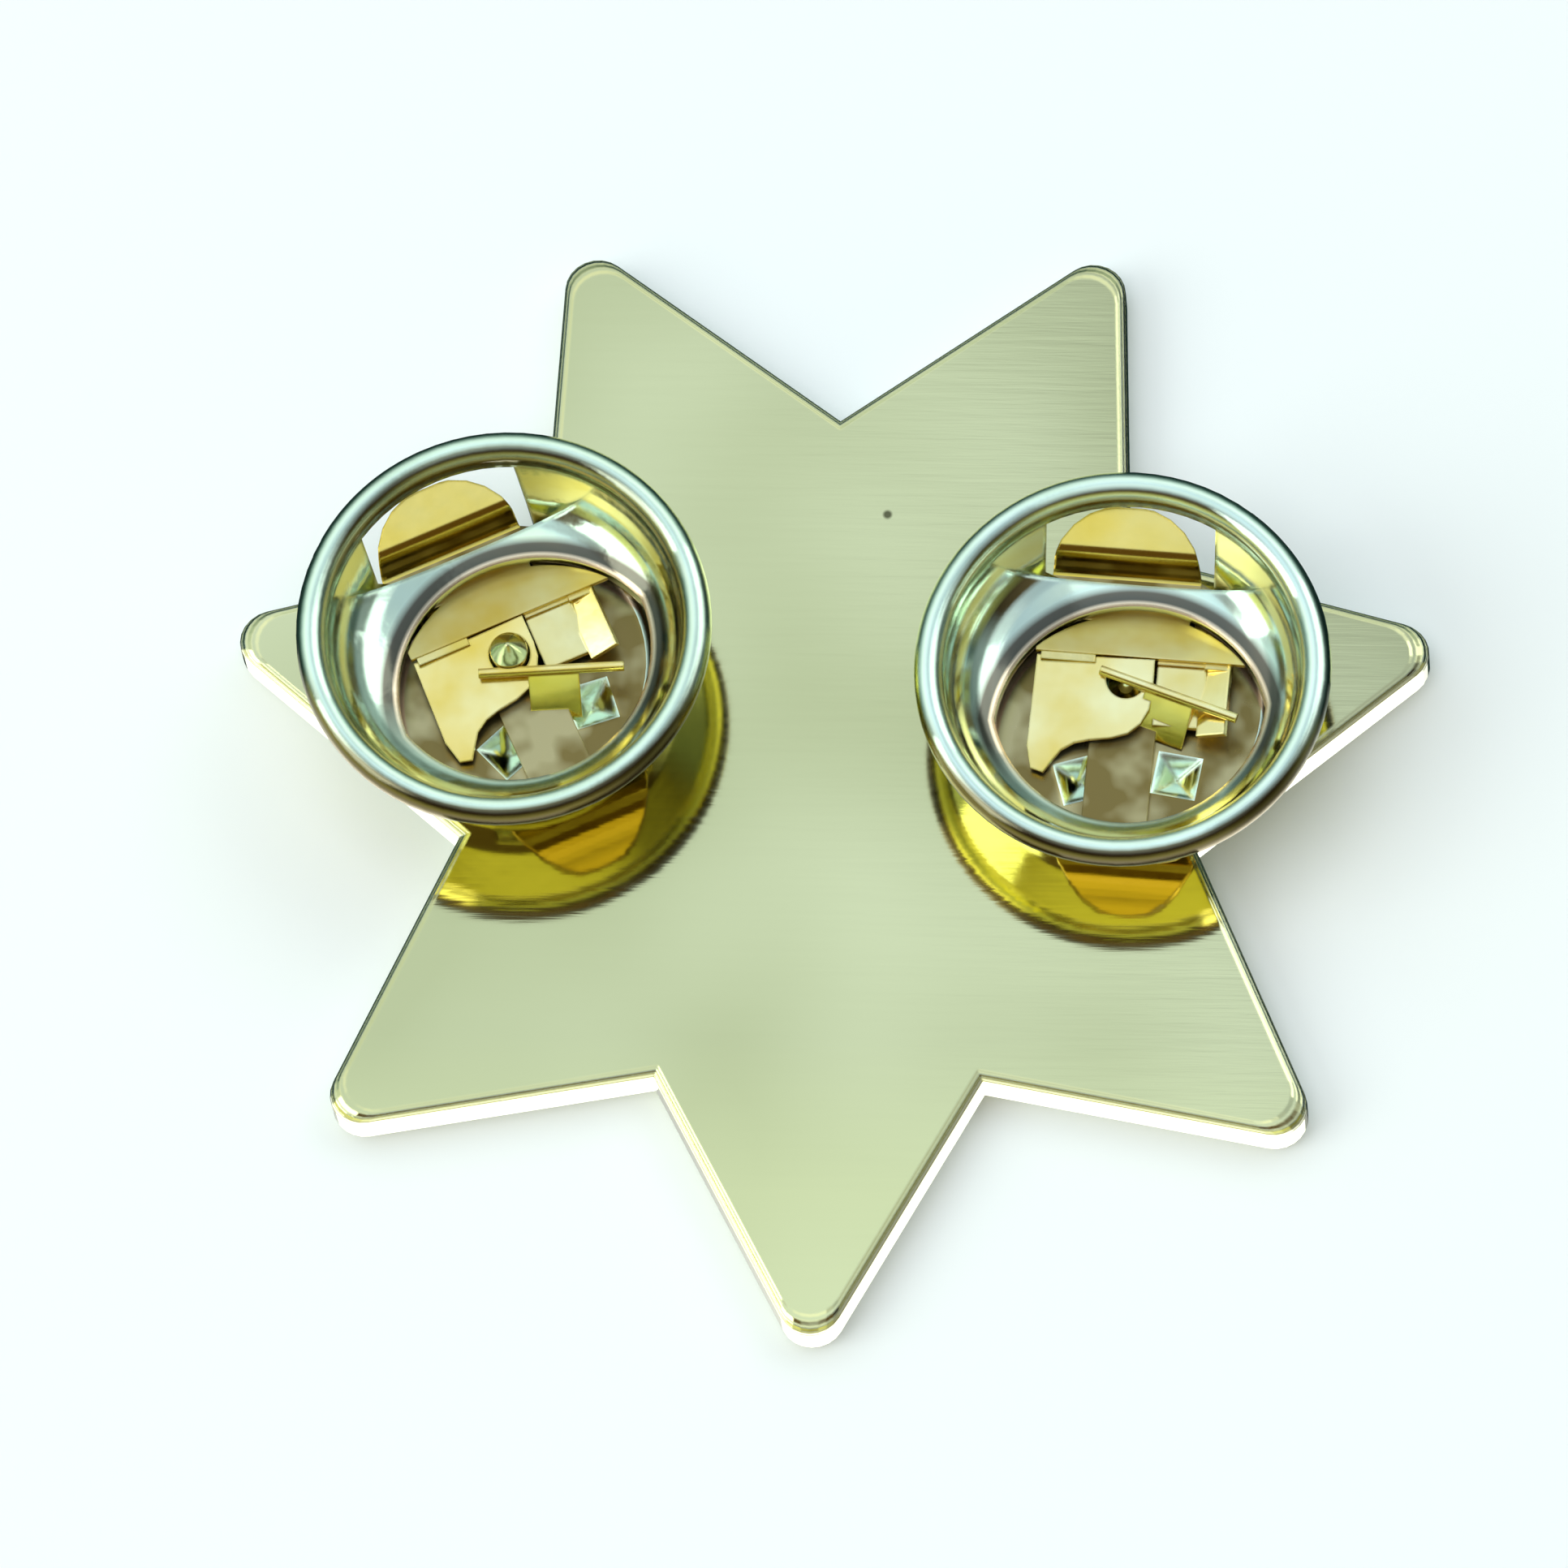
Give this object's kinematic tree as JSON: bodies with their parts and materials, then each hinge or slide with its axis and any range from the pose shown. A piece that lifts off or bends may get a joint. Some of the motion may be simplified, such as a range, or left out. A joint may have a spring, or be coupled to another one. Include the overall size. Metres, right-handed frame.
{
  "type": "lapel pin",
  "caption": "Flat star lapel pin lying face down: a plain polished back with soldered posts, each holding a round butterfly clutch with a sprung, winged insert.",
  "frame": {"origin": "centre of the star on its front face, which lies on the ground plane", "axes": "+Z out of the back towards the clutches, -Y towards the single bottom point of the star, +X to the right seen from the back"},
  "size_m": [0.0328, 0.0313, 0.0057],
  "materials": {
    "star_plate": "polished pale gold plate, very fine straight grain",
    "clutch_cap": "bright pale gold plate over pressed sheet",
    "clutch_spring": "bright yellow gold plate over spring sheet"
  },
  "bodies": {
    "pin": {"star_plate": "star_plate"},
    "clutch_left": {"clutch_cap_left": "clutch_cap", "clutch_spring_left": "clutch_spring"},
    "clutch_right": {"clutch_cap_right": "clutch_cap", "clutch_spring_right": "clutch_spring"}
  },
  "joints": [
    {"name": "clutch_left_pull", "type": "slide", "parent": "pin", "child": "clutch_left", "axis": [0, 0, 1], "range_m": [0, 0.006]},
    {"name": "clutch_right_pull", "type": "slide", "parent": "pin", "child": "clutch_right", "axis": [0, 0, 1], "range_m": [0, 0.006]}
  ]
}
